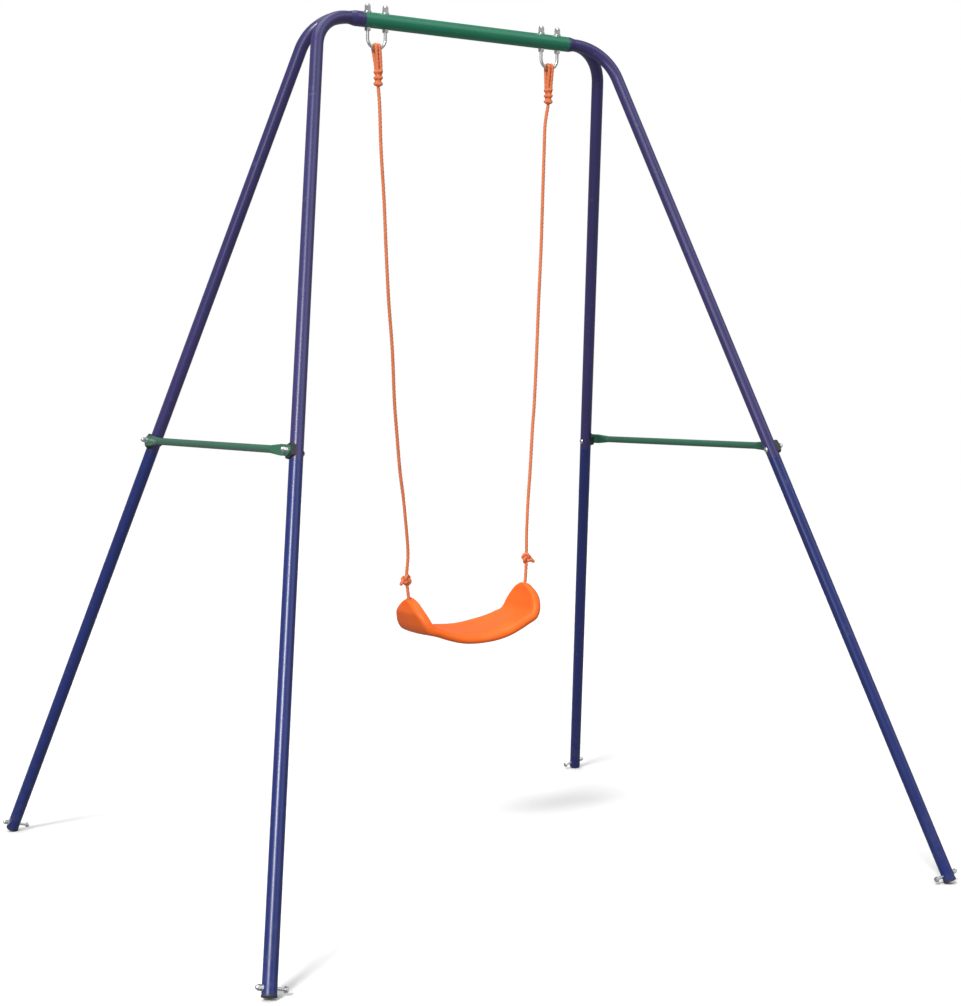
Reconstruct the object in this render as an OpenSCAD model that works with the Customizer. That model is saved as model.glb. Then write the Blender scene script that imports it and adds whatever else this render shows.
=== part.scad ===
// Single garden swing: two splayed A-frames of bent steel tube, a green top beam,
// two cross braces, two U-bolts and one moulded seat on two ropes.
// Millimetres. +X runs along the beam, -Y is the front, +Z is up.
// The origin is on the ground, midway between the four feet.

/* [Frame] */
// Height of the beam's axis above the ground
beam_z = 1890; // [1500:10:2300]
// Distance from the middle to a leg's axis at the ground, along the beam
foot_x = 820; // [650:5:1000]
// Distance from the middle to a leg's axis at the ground, front to back
foot_y = 755; // [600:5:950]
// Distance from the middle to where a leg's line meets the beam's height
leg_top_x = 373; // [362:1:400]
// How far a leg's line passes the beam's axis at that height, front to back
leg_top_y = 12; // [6:0.5:14]
// Distance from the middle to where the legs leave the corner stub
corner_x = 292; // [288:1:310]

/* [Tubes] */
// Outer diameter of the legs
leg_d = 28; // [24:0.5:36]
// Wall of the legs
leg_wall = 1.5; // [1.2:0.1:2.5]
// Outer diameter of the beam and of the corner stubs
beam_d = 34; // [33:0.5:44]
// Wall of the beam
beam_wall = 1.5; // [1.2:0.1:2]
// Length of the green beam
beam_len = 532; // [516:1:540]
// How far the beam's middle sits to the right of the frame's middle
beam_shift = 8; // [-12:1:12]
// Length of a tube's reduced end inside the next tube
spigot_len = 70; // [62:1:110]
// Radial clearance of a reduced end in its tube
spigot_gap = 0.3; // [0.1:0.05:0.4]

/* [Mid joint and braces] */
// Distance along a leg from the ground to the joint between its two tubes
leg_joint_s = 1028; // [800:5:1250]
// Distance from that joint up to the brace bolt
brace_bolt_up = 20; // [18:1:30]
// Outer diameter of a cross brace
brace_d = 16; // [12:0.5:20]
// Thickness of the brace's flattened ends
brace_flat_t = 3.2; // [2.4:0.2:4]
// Width of the brace's flattened ends
brace_flat_w = 23; // [20:0.5:26]
// Thickness of a plastic saddle between leg and brace, at its thinnest
saddle_t = 4; // [3:0.5:8]
// Height of a saddle along the leg
saddle_h = 31; // [26:1:40]
// Width of a saddle across the leg
saddle_w = 25; // [20:1:27]

/* [Fasteners] */
// Shank diameter of the leg bolts
bolt_d = 6; // [5:0.5:8]
// Width across flats of the leg bolts' heads and nuts
bolt_af = 10; // [9:0.5:13]
// Height of the leg bolts' cap nuts
bolt_cap_h = 13; // [11:0.5:16]
// Height of a foot bolt above the bottom of its leg
foot_bolt_up = 12; // [11:1:60]
// Free shank of a foot bolt inside the frame, where a ground anchor is clamped
foot_bolt_free = 18; // [12:1:30]
// Rod diameter of the U-bolts
ubolt_d = 7; // [6:0.5:8]
// Distance between a U-bolt's two prongs
ubolt_w = 44; // [40:1:50]
// Distance from the middle to the middle of each U-bolt
ubolt_x = 226; // [216:1:228]
// Depth of a U-bolt's rod below the beam's axis
ubolt_drop = 61; // [56:1:90]
// Width across flats of the U-bolts' nuts
ubolt_af = 13; // [12:0.5:15]
// Height of the U-bolts' cap nuts
ubolt_cap_h = 17; // [13:0.5:20]

/* [Swing] */
// Diameter of the rope
rope_d = 8; // [6:0.5:10]
// Height of the seat's pivots, midway between its ends
pivot_z = 611; // [560:1:700]
// How much lower the left end of the seat hangs than the right
seat_lean = 23; // [0:1:40]
// How far the seat hangs to the right of the frame's middle
seat_shift = 19; // [-25:1:25]
// Width of the seat, front to back
seat_w = 150; // [130:2:170]
// Thickness of the seat's moulding
seat_t = 20; // [19:0.5:24]
// Half length of the gently curved middle of the seat
seat_flat = 119; // [95:1:120]
// Radius of the seat's gently curved middle
seat_pan_r = 330; // [250:5:500]
// Radius of the bend between the middle and an ear
seat_bend_r = 52; // [42:1:60]
// Angle of an ear from the horizontal
ear_angle = 73; // [66:1:82]
// Height of the ears' tops above the seat's underside
ear_top = 108; // [104:1:124]

/* [Hidden] */
$fn = 64;
HULL_FN = 32;
ROPE_SIDES = 10;
END_CHAMFER = 1.2;
FIT = 0.1;
HOLE_GAP = 0.3;
BIG = 400;

BLUE = [0.25, 0.24, 0.50];
GREEN = [0.16, 0.47, 0.36];
ORANGE = [1.0, 0.42, 0.17];
ZINC = [0.76, 0.77, 0.76];
BLACK = [0.09, 0.09, 0.10];

// ---- Leg geometry, worked out for the back right leg; the others are mirrored ----

function unit(v) = v / norm(v);

leg_r = leg_d / 2;
leg_bore_r = leg_r - leg_wall;
leg_foot = [foot_x, foot_y, 0];
leg_corner = [leg_top_x, leg_top_y, beam_z];
leg_up = unit(leg_corner - leg_foot);
leg_out = unit([beam_z, 0, foot_x - leg_top_x]);
leg_side = cross(leg_up, leg_out);
leg_lean = sqrt(1 - leg_up[2] * leg_up[2]);

// The bend from the corner stub into the leg is one arc that touches both lines.
bend_start = [corner_x, 0, beam_z];
bend_dir = unit(leg_corner - bend_start);
bend_reach = norm(leg_corner - bend_start);
bend_angle = acos(bend_dir * -leg_up);
bend_r = bend_reach / tan(bend_angle / 2);
bend_in = unit(-leg_up + bend_dir * (leg_up * bend_dir));
bend_end_s = norm(leg_corner - leg_foot) - bend_reach;
BEND_LEAD = 2;
WELD_GAP = 0.01;

// Plug at the foot: its lowest rim point stands on the ground.
plug_flange_r = leg_r + 0.6;
plug_flange_t = 4;
plug_depth = 7;
plug_rim_r = plug_flange_r - END_CHAMFER;
foot_s = plug_rim_r * leg_lean / leg_up[2];
tube_foot_s = foot_s + plug_flange_t;
foot_bolt_s = tube_foot_s + foot_bolt_up;
brace_bolt_s = leg_joint_s + brace_bolt_up;

spigot_r = leg_bore_r - spigot_gap;
SPIGOT_WALL = 1.4;

// Stop dimple pressed out of the lower leg just under the joint.
DIMPLE_R = 4;
DIMPLE_OUT = 1.3;
DIMPLE_DOWN = 5;
DIMPLE_TURN = 118;

// ---- Beam, stubs and U-bolts ----

beam_r = beam_d / 2;
beam_bore_r = beam_r - beam_wall;
beam_left = beam_shift - beam_len / 2;
beam_right = beam_shift + beam_len / 2;
stub_spigot_r = beam_bore_r - spigot_gap;
stub_bore_r = stub_spigot_r - SPIGOT_WALL;
NECK_LEN = 12;
NECK_LIP = 0.5;

ubolt_r = ubolt_d / 2;
ubolt_bend = ubolt_w / 2;
ubolt_z = beam_z - ubolt_drop;
ubolt_prong_z = ubolt_z + ubolt_bend;
PAD_R = 8;
PAD_T = 2.5;
PAD_SINK = 5;
LOCK_NUT_H = 6.5;
cap_nut_z = beam_z + beam_r + PAD_T;

// ---- Leg fasteners, along the bolt's own axis from the leg's axis ----

bolt_r = bolt_d / 2;
bolt_hole_r = bolt_r + HOLE_GAP;
WASHER_T = 1.2;
washer_r = bolt_af * 0.62;
HEX_HEAD_H = 4;
ROUND_HEAD_R = 6.5;
ROUND_HEAD_H = 3.6;
CAP_BORE = 0.75;
CAP_END_GAP = 1;
saddle_face = leg_r + saddle_t;
brace_mid = saddle_face + brace_flat_t / 2;
brace_face = saddle_face + brace_flat_t;
brace_nut_face = brace_face + WASHER_T;
foot_nut_face = leg_r + WASHER_T;
foot_head_face = leg_r + foot_bolt_free;

BRACE_FLAT_LEN = 30;
BRACE_TAPER_LEN = 46;
TAPER_LIP = 0.15;
TAPER_INTO = 1;
SADDLE_GAP = 0.15;
SADDLE_WRAP = 9;

// ---- Seat and ropes ----

rope_r = rope_d / 2;
pan_angle = asin(seat_flat / seat_pan_r);
seat_bend_x = seat_flat + seat_bend_r * (sin(ear_angle) - sin(pan_angle));
seat_bend_z = seat_pan_r * (1 - cos(pan_angle)) + seat_bend_r * (cos(pan_angle) - cos(ear_angle));
ear_len = (ear_top - seat_bend_z) / sin(ear_angle) + seat_t;
ear_dir = [cos(ear_angle), 0, sin(ear_angle)];
// Middle of the ear's wall at the height of its top
ear_mouth_x = seat_bend_x + (ear_top - seat_bend_z) / tan(ear_angle) - seat_t / 2 / sin(ear_angle);
MOUTH_R = 8;
MOUTH_DEPTH = 6;
ROPE_BORE_R = rope_r + 1;
POCKET_R = 7.8;
POCKET_FROM = 14;
POCKET_TO = 34;
STOPPER_R = 7;
STOPPER_GAP = 0.5;
PIVOT_DEPTH = 2;
pivot_local_x = ear_mouth_x - PIVOT_DEPTH * cos(ear_angle);
pivot_local_z = ear_top - PIVOT_DEPTH * sin(ear_angle);
seat_turn = asin(seat_lean / (2 * pivot_local_x));
pivot_left = [seat_shift - pivot_local_x * cos(seat_turn), 0, pivot_z - seat_lean / 2];
pivot_right = [seat_shift + pivot_local_x * cos(seat_turn), 0, pivot_z + seat_lean / 2];

// Lashing of three turns that closes the rope's eye
LASH_TOP_DROP = 42;
LASH_H = 42;
LASH_CORE_R = 7.5;
LASH_PITCH = 14.5;
lash_top_z = ubolt_z - LASH_TOP_DROP;
lash_bottom_z = lash_top_z - LASH_H;
EYE_GAP = 1;
eye_r = ubolt_r + EYE_GAP + rope_r;
eye_strand_x = rope_r + 0.2;
EYE_FOOT_Y = 4.2;
EYE_INTO = 2;

KNOT_R = 10;
KNOT_TAIL = 17;

// Each rope's own route below its lashing: x and z, chosen along its slight waves.
LEFT_ROUTE = [
    [-217, 1700], [-213, 1608], [-205, 1500], [-199, 1388], [-192, 1278], [-182, 1167],
    [-176, 1055], [-170, 988], [-161, 898], [-151, 830], [-141, 740], [-139, 700], [-142, 655]
];
RIGHT_ROUTE = [
    [217, 1700], [215, 1640], [212, 1524], [209, 1407], [204, 1290], [200, 1174],
    [195, 1057], [190, 987], [185, 894], [180, 823], [177, 750], [177, 710], [177, 680]
];
LEFT_LASH_X = -221;
RIGHT_LASH_X = 225;
LEFT_KNOT = [-145, 0, 649];
RIGHT_KNOT = [179, 0, 687];
ROPE_STEPS = 3;

// ---- Helpers ----

// Turns the children's own axes onto three given directions.
module orient(x, y, z) {
    rotate([atan2(y[2], z[2]), asin(-x[2]), atan2(x[1], x[0])])
        children();
}

// Mirrors the children from the back right into the named quarter.
module quarter(side, face) {
    mirror([side < 0 ? 1 : 0, 0, 0])
        mirror([0, face < 0 ? 1 : 0, 0])
            children();
}

// Places the children on the leg's axis: +Z up the leg, +X square out of the A-frame.
module at_leg(s) {
    translate(leg_foot + s * leg_up)
        orient(leg_out, leg_side, leg_up)
            children();
}

module along_x() {
    rotate([0, 90, 0])
        children();
}

module tube(r, bore, h) {
    difference() {
        cylinder(r = r, h = h);
        translate([0, 0, -1])
            cylinder(r = bore, h = h + 2);
    }
}

module hex(af, h) {
    cylinder(r = af / 2 / cos(30), h = h, $fn = 6);
}

// Cap nut: hexagon with a domed end and a blind thread bore, open at z = 0.
module cap_nut(af, h, bore) {
    dome_r = af * 0.46;
    difference() {
        union() {
            hex(af, h - dome_r);
            translate([0, 0, h - dome_r])
                sphere(r = dome_r);
        }
        translate([0, 0, -1])
            cylinder(r = bore, h = h * CAP_BORE + 1);
    }
}

module washer(r, bore, t) {
    difference() {
        cylinder(r = r, h = t);
        translate([0, 0, -1])
            cylinder(r = bore, h = t + 2);
    }
}

// Smooth curve through a list of points, a few steps between each pair.
function spline(p, steps) = [
    for (i = [0:len(p) - 2], k = [0:steps - 1])
        let (t = k / steps,
             a = p[max(i - 1, 0)], b = p[i], c = p[i + 1], d = p[min(i + 2, len(p) - 1)])
        0.5 * (2 * b + (c - a) * t + (2 * a - 5 * b + 4 * c - d) * t * t
               + (3 * b - a - 3 * c + d) * t * t * t),
    p[len(p) - 1]
];

function heading(p, i) = unit(p[min(i + 1, len(p) - 1)] - p[max(i - 1, 0)]);

// Round cord swept along a list of points; ref is any direction the cord never takes.
module cord(path, r, ref) {
    rings = [
        for (i = [0:len(path) - 1])
            let (t = heading(path, i), u = unit(cross(t, ref)), v = cross(t, u))
            for (k = [0:ROPE_SIDES - 1])
                let (a = 360 * k / ROPE_SIDES)
                path[i] + r * (cos(a) * u + sin(a) * v)
    ];
    n = ROPE_SIDES;
    last = len(path) - 1;
    sides = [
        for (i = [0:last - 1], k = [0:n - 1])
            let (a = i * n + k, b = i * n + (k + 1) % n)
            for (f = [[a, a + n, b], [b, a + n, b + n]]) f
    ];
    start_cap = [for (k = [0:n - 1]) k];
    end_cap = [for (k = [n - 1:-1:0]) last * n + k];
    polyhedron(points = rings, faces = concat(sides, [start_cap, end_cap]));
}

// ---- Frame ----

// Vertical holes for a U-bolt's two prongs.
module prong_holes(x) {
    for (dx = [-ubolt_bend, ubolt_bend])
        translate([x + dx, 0, beam_z - beam_d])
            cylinder(r = ubolt_r + HOLE_GAP, h = 2 * beam_d);
}

module beam_tube() {
    color(GREEN)
        difference() {
            translate([beam_left, 0, beam_z])
                along_x()
                    tube(beam_r, beam_bore_r, beam_len);
            prong_holes(-ubolt_x);
            prong_holes(ubolt_x);
        }
}

// Corner stub: full beam diameter outside, reduced end in the beam, tapered neck at the legs.
module corner_stub(beam_end) {
    color(BLUE)
        difference() {
            translate([0, 0, beam_z])
                along_x()
                    rotate_extrude()
                        polygon([
                            [stub_bore_r, beam_end - spigot_len],
                            [stub_spigot_r, beam_end - spigot_len],
                            [stub_spigot_r, beam_end],
                            [beam_r, beam_end],
                            [beam_r, corner_x - NECK_LEN],
                            [leg_r + NECK_LIP, corner_x],
                            [leg_bore_r, corner_x],
                            [leg_bore_r, corner_x - NECK_LEN],
                            [stub_bore_r, corner_x - 2 * NECK_LEN]
                        ]);
            prong_holes(ubolt_x);
        }
}

// Arc at the top of a leg, cut where it meets the stub and its twin.
module leg_bend() {
    difference() {
        translate(bend_start + bend_r * bend_in)
            orient(-bend_in, bend_dir, cross(-bend_in, bend_dir))
                rotate_extrude(angle = bend_angle + BEND_LEAD, start = -BEND_LEAD)
                    translate([bend_r, 0])
                        difference() {
                            circle(r = leg_r);
                            circle(r = leg_bore_r);
                        }
        translate([corner_x - BIG, -BIG, beam_z - BIG / 2])
            cube([BIG, 2 * BIG, BIG]);
        translate([corner_x - 1, -BIG, beam_z - BIG / 2])
            cube([BIG, BIG, BIG]);
    }
}

// Bent top and straight run, end to end with a hair's gap where the weld runs.
module upper_leg(side, face) {
    color(BLUE)
        quarter(side, face) {
            leg_bend();
            difference() {
                at_leg(leg_joint_s)
                    tube(leg_r, leg_bore_r, bend_end_s - leg_joint_s - WELD_GAP);
                at_leg(brace_bolt_s)
                    translate([-leg_d, 0, 0])
                        along_x()
                            cylinder(r = bolt_hole_r, h = 2 * leg_d);
            }
        }
}

module lower_leg(side, face) {
    color(BLUE)
        quarter(side, face)
            difference() {
                at_leg(0)
                    union() {
                        rotate_extrude()
                            polygon([
                                [leg_bore_r, tube_foot_s],
                                [leg_r, tube_foot_s],
                                [leg_r, leg_joint_s],
                                [spigot_r, leg_joint_s],
                                [spigot_r, leg_joint_s + spigot_len],
                                [spigot_r - SPIGOT_WALL, leg_joint_s + spigot_len],
                                [spigot_r - SPIGOT_WALL, leg_joint_s - NECK_LEN],
                                [leg_bore_r, leg_joint_s - 2 * NECK_LEN]
                            ]);
                        stop_dimple();
                    }
                for (s = [foot_bolt_s, brace_bolt_s])
                    at_leg(s)
                        translate([-leg_d, 0, 0])
                            along_x()
                                cylinder(r = bolt_hole_r, h = 2 * leg_d);
            }
}

// Small round bump, kept outside the tube's bore.
module stop_dimple() {
    rotate([0, 0, DIMPLE_TURN])
        translate([leg_r + DIMPLE_OUT - DIMPLE_R, 0, leg_joint_s - DIMPLE_DOWN])
            difference() {
                sphere(r = DIMPLE_R);
                translate([-DIMPLE_R - 1, -DIMPLE_R - 1, -DIMPLE_R - 1])
                    cube([DIMPLE_R + 1, 2 * DIMPLE_R + 2, 2 * DIMPLE_R + 2]);
            }
}

module foot_plug(side, face) {
    color(BLACK)
        quarter(side, face)
            at_leg(foot_s)
                rotate_extrude()
                    polygon([
                        [0, 0],
                        [plug_rim_r, 0],
                        [plug_flange_r, END_CHAMFER],
                        [plug_flange_r, plug_flange_t],
                        [leg_bore_r - FIT, plug_flange_t],
                        [leg_bore_r - FIT, plug_flange_t + plug_depth],
                        [0, plug_flange_t + plug_depth]
                    ]);
}

// ---- Braces ----

brace_hole = leg_foot + brace_bolt_s * leg_up;
brace_half = brace_hole[1];
brace_tube_half = brace_half - BRACE_FLAT_LEN - BRACE_TAPER_LEN;
brace_up = cross(leg_out, [0, 1, 0]);

module brace_flat() {
    difference() {
        union() {
            translate([-brace_flat_t / 2, brace_half - BRACE_FLAT_LEN, -brace_flat_w / 2])
                cube([brace_flat_t, BRACE_FLAT_LEN, brace_flat_w]);
            translate([-brace_flat_t / 2, brace_half, 0])
                along_x()
                    cylinder(r = brace_flat_w / 2, h = brace_flat_t);
        }
        translate([-brace_d, brace_half, 0])
            along_x()
                cylinder(r = bolt_hole_r, h = 2 * brace_d);
    }
}

// Where the round tube is pressed flat; its ends stand a hair proud of the tube and the flat.
module brace_taper() {
    end_t = brace_flat_t + 2 * TAPER_LIP;
    end_w = brace_flat_w + 2 * TAPER_LIP;
    hull() {
        translate([0, brace_tube_half - TAPER_INTO, 0])
            rotate([-90, 0, 0])
                cylinder(r = brace_d / 2 + TAPER_LIP, h = TAPER_INTO, $fn = HULL_FN);
        translate([-end_t / 2, brace_half - BRACE_FLAT_LEN, -end_w / 2])
            cube([end_t, TAPER_INTO, end_w]);
    }
}

module brace(side) {
    color(GREEN)
        quarter(side, 1)
            translate([brace_hole[0], 0, brace_hole[2]] + brace_mid * leg_out)
                orient(leg_out, [0, 1, 0], brace_up)
                    union() {
                        translate([0, -brace_tube_half, 0])
                            rotate([-90, 0, 0])
                                cylinder(r = brace_d / 2, h = 2 * brace_tube_half);
                        for (end = [0, 1])
                            mirror([0, end, 0]) {
                                brace_flat();
                                brace_taper();
                            }
                    }
}

// Black saddle: hollow face on the leg, flat face under the brace.
module saddle(side, face) {
    color(BLACK)
        quarter(side, face)
            at_leg(brace_bolt_s)
                difference() {
                    intersection() {
                        translate([saddle_face - saddle_t - SADDLE_WRAP, -saddle_w / 2, -saddle_h / 2])
                            cube([saddle_t + SADDLE_WRAP, saddle_w, saddle_h]);
                        along_x()
                            cylinder(r = saddle_h * 0.54, h = saddle_face + 1);
                    }
                    translate([0, 0, -saddle_h])
                        cylinder(r = leg_r + SADDLE_GAP, h = 2 * saddle_h);
                    along_x()
                        cylinder(r = bolt_hole_r, h = 2 * leg_d);
                }
}

// ---- Fasteners ----

// Round-headed bolt through leg, saddle and brace; the head is inside the frame.
module brace_bolt(side, face) {
    cap_r = (ROUND_HEAD_R * ROUND_HEAD_R + ROUND_HEAD_H * ROUND_HEAD_H) / (2 * ROUND_HEAD_H);
    shank_end = brace_nut_face + bolt_cap_h * CAP_BORE - CAP_END_GAP;
    color(ZINC)
        quarter(side, face)
            at_leg(brace_bolt_s) {
                translate([-leg_r, 0, 0])
                    along_x()
                        cylinder(r = bolt_r, h = shank_end + leg_r);
                difference() {
                    translate([-leg_r - ROUND_HEAD_H + cap_r, 0, 0])
                        sphere(r = cap_r);
                    translate([-leg_r, -BIG / 2, -BIG / 2])
                        cube([BIG, BIG, BIG]);
                }
            }
}

module brace_washers(side) {
    color(ZINC)
        for (face = [-1, 1])
            quarter(side, face)
                at_leg(brace_bolt_s)
                    translate([brace_face, 0, 0])
                        along_x()
                            washer(washer_r, bolt_hole_r, WASHER_T);
}

module brace_cap_nuts(side) {
    color(ZINC)
        for (face = [-1, 1])
            quarter(side, face)
                at_leg(brace_bolt_s)
                    translate([brace_nut_face, 0, 0])
                        along_x()
                            cap_nut(bolt_af, bolt_cap_h, bolt_r + FIT);
}

// Hexagon bolt whose free inner shank takes a ground anchor.
module foot_bolt(side, face) {
    shank_end = foot_nut_face + bolt_cap_h * CAP_BORE - CAP_END_GAP;
    color(ZINC)
        quarter(side, face)
            at_leg(foot_bolt_s) {
                translate([-foot_head_face, 0, 0])
                    along_x()
                        cylinder(r = bolt_r, h = shank_end + foot_head_face);
                translate([-foot_head_face - HEX_HEAD_H, 0, 0])
                    along_x()
                        hex(bolt_af, HEX_HEAD_H);
            }
}

module foot_washers(side) {
    color(ZINC)
        for (face = [-1, 1])
            quarter(side, face)
                at_leg(foot_bolt_s)
                    for (x = [-foot_head_face, leg_r])
                        translate([x, 0, 0])
                            along_x()
                                washer(washer_r, bolt_r + FIT, WASHER_T);
}

module foot_cap_nuts(side) {
    color(ZINC)
        for (face = [-1, 1])
            quarter(side, face)
                at_leg(foot_bolt_s)
                    translate([foot_nut_face, 0, 0])
                        along_x()
                            cap_nut(bolt_af, bolt_cap_h, bolt_r + FIT);
}

module ubolt(side) {
    prong_top = cap_nut_z + ubolt_cap_h * CAP_BORE - CAP_END_GAP;
    color(ZINC)
        translate([side * ubolt_x, 0, 0]) {
            translate([0, 0, ubolt_prong_z])
                rotate([90, 0, 0])
                    rotate_extrude(angle = 180, start = 180)
                        translate([ubolt_bend, 0])
                            circle(r = ubolt_r);
            for (dx = [-ubolt_bend, ubolt_bend])
                translate([dx, 0, ubolt_prong_z])
                    cylinder(r = ubolt_r, h = prong_top - ubolt_prong_z);
        }
}

// Runs its children at both prongs of one U-bolt.
module at_prongs(side) {
    for (dx = [-ubolt_bend, ubolt_bend])
        translate([side * ubolt_x + dx, 0, 0])
            children();
}

// Pads that bridge from the round beam to the flat nuts.
module ubolt_pads(side) {
    color(ZINC)
        difference() {
            at_prongs(side)
                translate([0, 0, cap_nut_z - PAD_T - PAD_SINK])
                    washer(PAD_R, ubolt_r + FIT, PAD_T + PAD_SINK);
            translate([beam_left, 0, beam_z])
                along_x()
                    cylinder(r = beam_r + FIT, h = beam_len);
        }
}

module ubolt_cap_nuts(side) {
    color(ZINC)
        at_prongs(side)
            translate([0, 0, cap_nut_z])
                cap_nut(ubolt_af, ubolt_cap_h, ubolt_r + FIT);
}

module ubolt_lock_nuts(side) {
    color(ZINC)
        at_prongs(side)
            translate([0, 0, beam_z - beam_r - LOCK_NUT_H])
                difference() {
                    hex(ubolt_af, LOCK_NUT_H);
                    translate([0, 0, -1])
                        cylinder(r = ubolt_r + FIT, h = LOCK_NUT_H + 2);
                }
}

// ---- Ropes ----

// Two turns of rope side by side over the U-bolt, drawn together at the lashing.
module rope_eye(side, lash_x) {
    lean_x = lash_x - side * ubolt_x;
    foot_z = lash_top_z - EYE_INTO;
    over = [
        for (a = [-10:20:190])
            [0, eye_r * cos(a), ubolt_z + eye_r * sin(a)]
    ];
    path = concat([[lean_x, EYE_FOOT_Y, foot_z], [lean_x, EYE_FOOT_Y + 1, foot_z + rope_d]], over,
                  [[lean_x, -EYE_FOOT_Y - 1, foot_z + rope_d], [lean_x, -EYE_FOOT_Y, foot_z]]);
    color(ORANGE)
        for (dx = [-eye_strand_x, eye_strand_x])
            translate([side * ubolt_x + dx, 0, 0])
                cord(path, rope_r, [1, 0, 0]);
}

module rope_lashing(lash_x) {
    color(ORANGE)
        translate([lash_x, 0, lash_bottom_z]) {
            cylinder(r = LASH_CORE_R, h = LASH_H);
            for (i = [0:2])
                translate([0, 0, LASH_H / 2 + (i - 1) * LASH_PITCH])
                    rotate_extrude()
                        translate([LASH_CORE_R, 0])
                            circle(r = rope_r);
        }
}

// One length of rope from inside the lashing to the seat's mouth.
module rope_line(lash_x, route, pivot) {
    path = concat([[lash_x, 0, lash_bottom_z + EYE_INTO]],
                  [for (p = route) [p[0], 0, p[1]]],
                  [pivot]);
    color(ORANGE)
        cord(spline(path, ROPE_STEPS), rope_r, [0, 1, 0]);
}

// Stopper knot tied in the rope above the seat, with a short tail.
module rope_knot(side, at) {
    color(ORANGE)
        translate(at) {
            sphere(r = KNOT_R);
            rotate([0, 0, side < 0 ? 180 : 0])
                rotate([0, 112, 0])
                    cylinder(r = rope_r, h = KNOT_TAIL);
        }
}

// Puts the seat's own frame (origin under its middle) into place.
module at_seat() {
    translate([seat_shift, 0, pivot_z])
        rotate([0, -seat_turn, 0])
            translate([0, 0, -pivot_local_z])
                children();
}

// Places the children at an ear's mouth, +Z out of the ear along its wall.
module at_mouth(side) {
    mirror([side < 0 ? 1 : 0, 0, 0])
        translate([ear_mouth_x, 0, ear_top])
            rotate([0, 90 - ear_angle, 0])
                children();
}

// The rope's knotted end inside the ear.
module rope_stopper(side) {
    neck_top = -PIVOT_DEPTH - STOPPER_GAP - rope_r;
    color(ORANGE)
        at_seat()
            at_mouth(side) {
                translate([0, 0, neck_top])
                    sphere(r = rope_r);
                translate([0, 0, -(POCKET_FROM + POCKET_TO) / 2])
                    cylinder(r = rope_r, h = (POCKET_FROM + POCKET_TO) / 2 + neck_top);
                translate([0, 0, -(POCKET_FROM + POCKET_TO) / 2])
                    sphere(r = STOPPER_R);
            }
}

// ---- Seat ----

// Outline of the moulding in its own XZ plane, offset inward by t.
function seat_line(t) = concat(
    [for (a = [0:pan_angle / 6:pan_angle])
        [(seat_pan_r - t) * sin(a), seat_pan_r - (seat_pan_r - t) * cos(a)]],
    [for (a = [pan_angle:(ear_angle - pan_angle) / 10:ear_angle])
        [seat_flat + seat_bend_r * (sin(a) - sin(pan_angle)) - t * sin(a),
         seat_pan_r * (1 - cos(pan_angle)) + seat_bend_r * (cos(pan_angle) - cos(a)) + t * cos(a)]],
    [[seat_bend_x + ear_len * cos(ear_angle) - t * sin(ear_angle),
      seat_bend_z + ear_len * sin(ear_angle) + t * cos(ear_angle)]]
);

function backwards(p) = [for (i = [len(p) - 1:-1:0]) p[i]];

function left_half(p) = [for (q = p) [-q[0], q[1]]];

module seat() {
    under = seat_line(0);
    over = seat_line(seat_t);
    band = concat(backwards(left_half(under)), under, backwards(over), left_half(over));
    color(ORANGE)
        at_seat()
            difference() {
                intersection() {
                    rotate([90, 0, 0])
                        translate([0, 0, -seat_w])
                            linear_extrude(2 * seat_w)
                                polygon(band);
                    translate([-BIG, 0, 0])
                        along_x()
                            ear_outline();
                }
                for (side = [-1, 1])
                    at_mouth(side)
                        mouth_cuts();
            }
}

// End view of the seat: straight sides and round tops. Local -X is up here.
module ear_outline() {
    translate([-(ear_top - seat_w / 2), 0, 0])
        cylinder(r = seat_w / 2, h = 2 * BIG);
    translate([-(ear_top - seat_w / 2), -seat_w / 2, 0])
        cube([BIG, seat_w, 2 * BIG]);
}

// Flared mouth, bore and knot pocket down an ear's wall.
module mouth_cuts() {
    translate([0, 0, -MOUTH_DEPTH])
        cylinder(r1 = ROPE_BORE_R, r2 = MOUTH_R, h = MOUTH_DEPTH);
    translate([0, 0, -FIT])
        cylinder(r = MOUTH_R, h = seat_t);
    translate([0, 0, -POCKET_TO])
        cylinder(r = ROPE_BORE_R, h = POCKET_TO);
    translate([0, 0, -POCKET_TO])
        cylinder(r = POCKET_R, h = POCKET_TO - POCKET_FROM);
}

// ---- Nodes ----

beam_tube();
mirror([1, 0, 0]) corner_stub(-beam_left);  // corner_stub_left
corner_stub(beam_right);  // corner_stub_right
upper_leg(-1, -1);  // upper_leg_front_left
upper_leg(-1, 1);  // upper_leg_back_left
upper_leg(1, -1);  // upper_leg_front_right
upper_leg(1, 1);  // upper_leg_back_right
lower_leg(-1, -1);  // lower_leg_front_left
lower_leg(-1, 1);  // lower_leg_back_left
lower_leg(1, -1);  // lower_leg_front_right
lower_leg(1, 1);  // lower_leg_back_right
foot_plug(-1, -1);  // foot_plug_front_left
foot_plug(-1, 1);  // foot_plug_back_left
foot_plug(1, -1);  // foot_plug_front_right
foot_plug(1, 1);  // foot_plug_back_right
brace(-1);  // brace_left
brace(1);  // brace_right
saddle(-1, -1);  // saddle_front_left
saddle(-1, 1);  // saddle_back_left
saddle(1, -1);  // saddle_front_right
saddle(1, 1);  // saddle_back_right
brace_bolt(-1, -1);  // brace_bolt_front_left
brace_bolt(-1, 1);  // brace_bolt_back_left
brace_bolt(1, -1);  // brace_bolt_front_right
brace_bolt(1, 1);  // brace_bolt_back_right
brace_washers(-1);  // brace_washers_left
brace_washers(1);  // brace_washers_right
brace_cap_nuts(-1);  // brace_cap_nuts_left
brace_cap_nuts(1);  // brace_cap_nuts_right
foot_bolt(-1, -1);  // foot_bolt_front_left
foot_bolt(-1, 1);  // foot_bolt_back_left
foot_bolt(1, -1);  // foot_bolt_front_right
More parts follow.
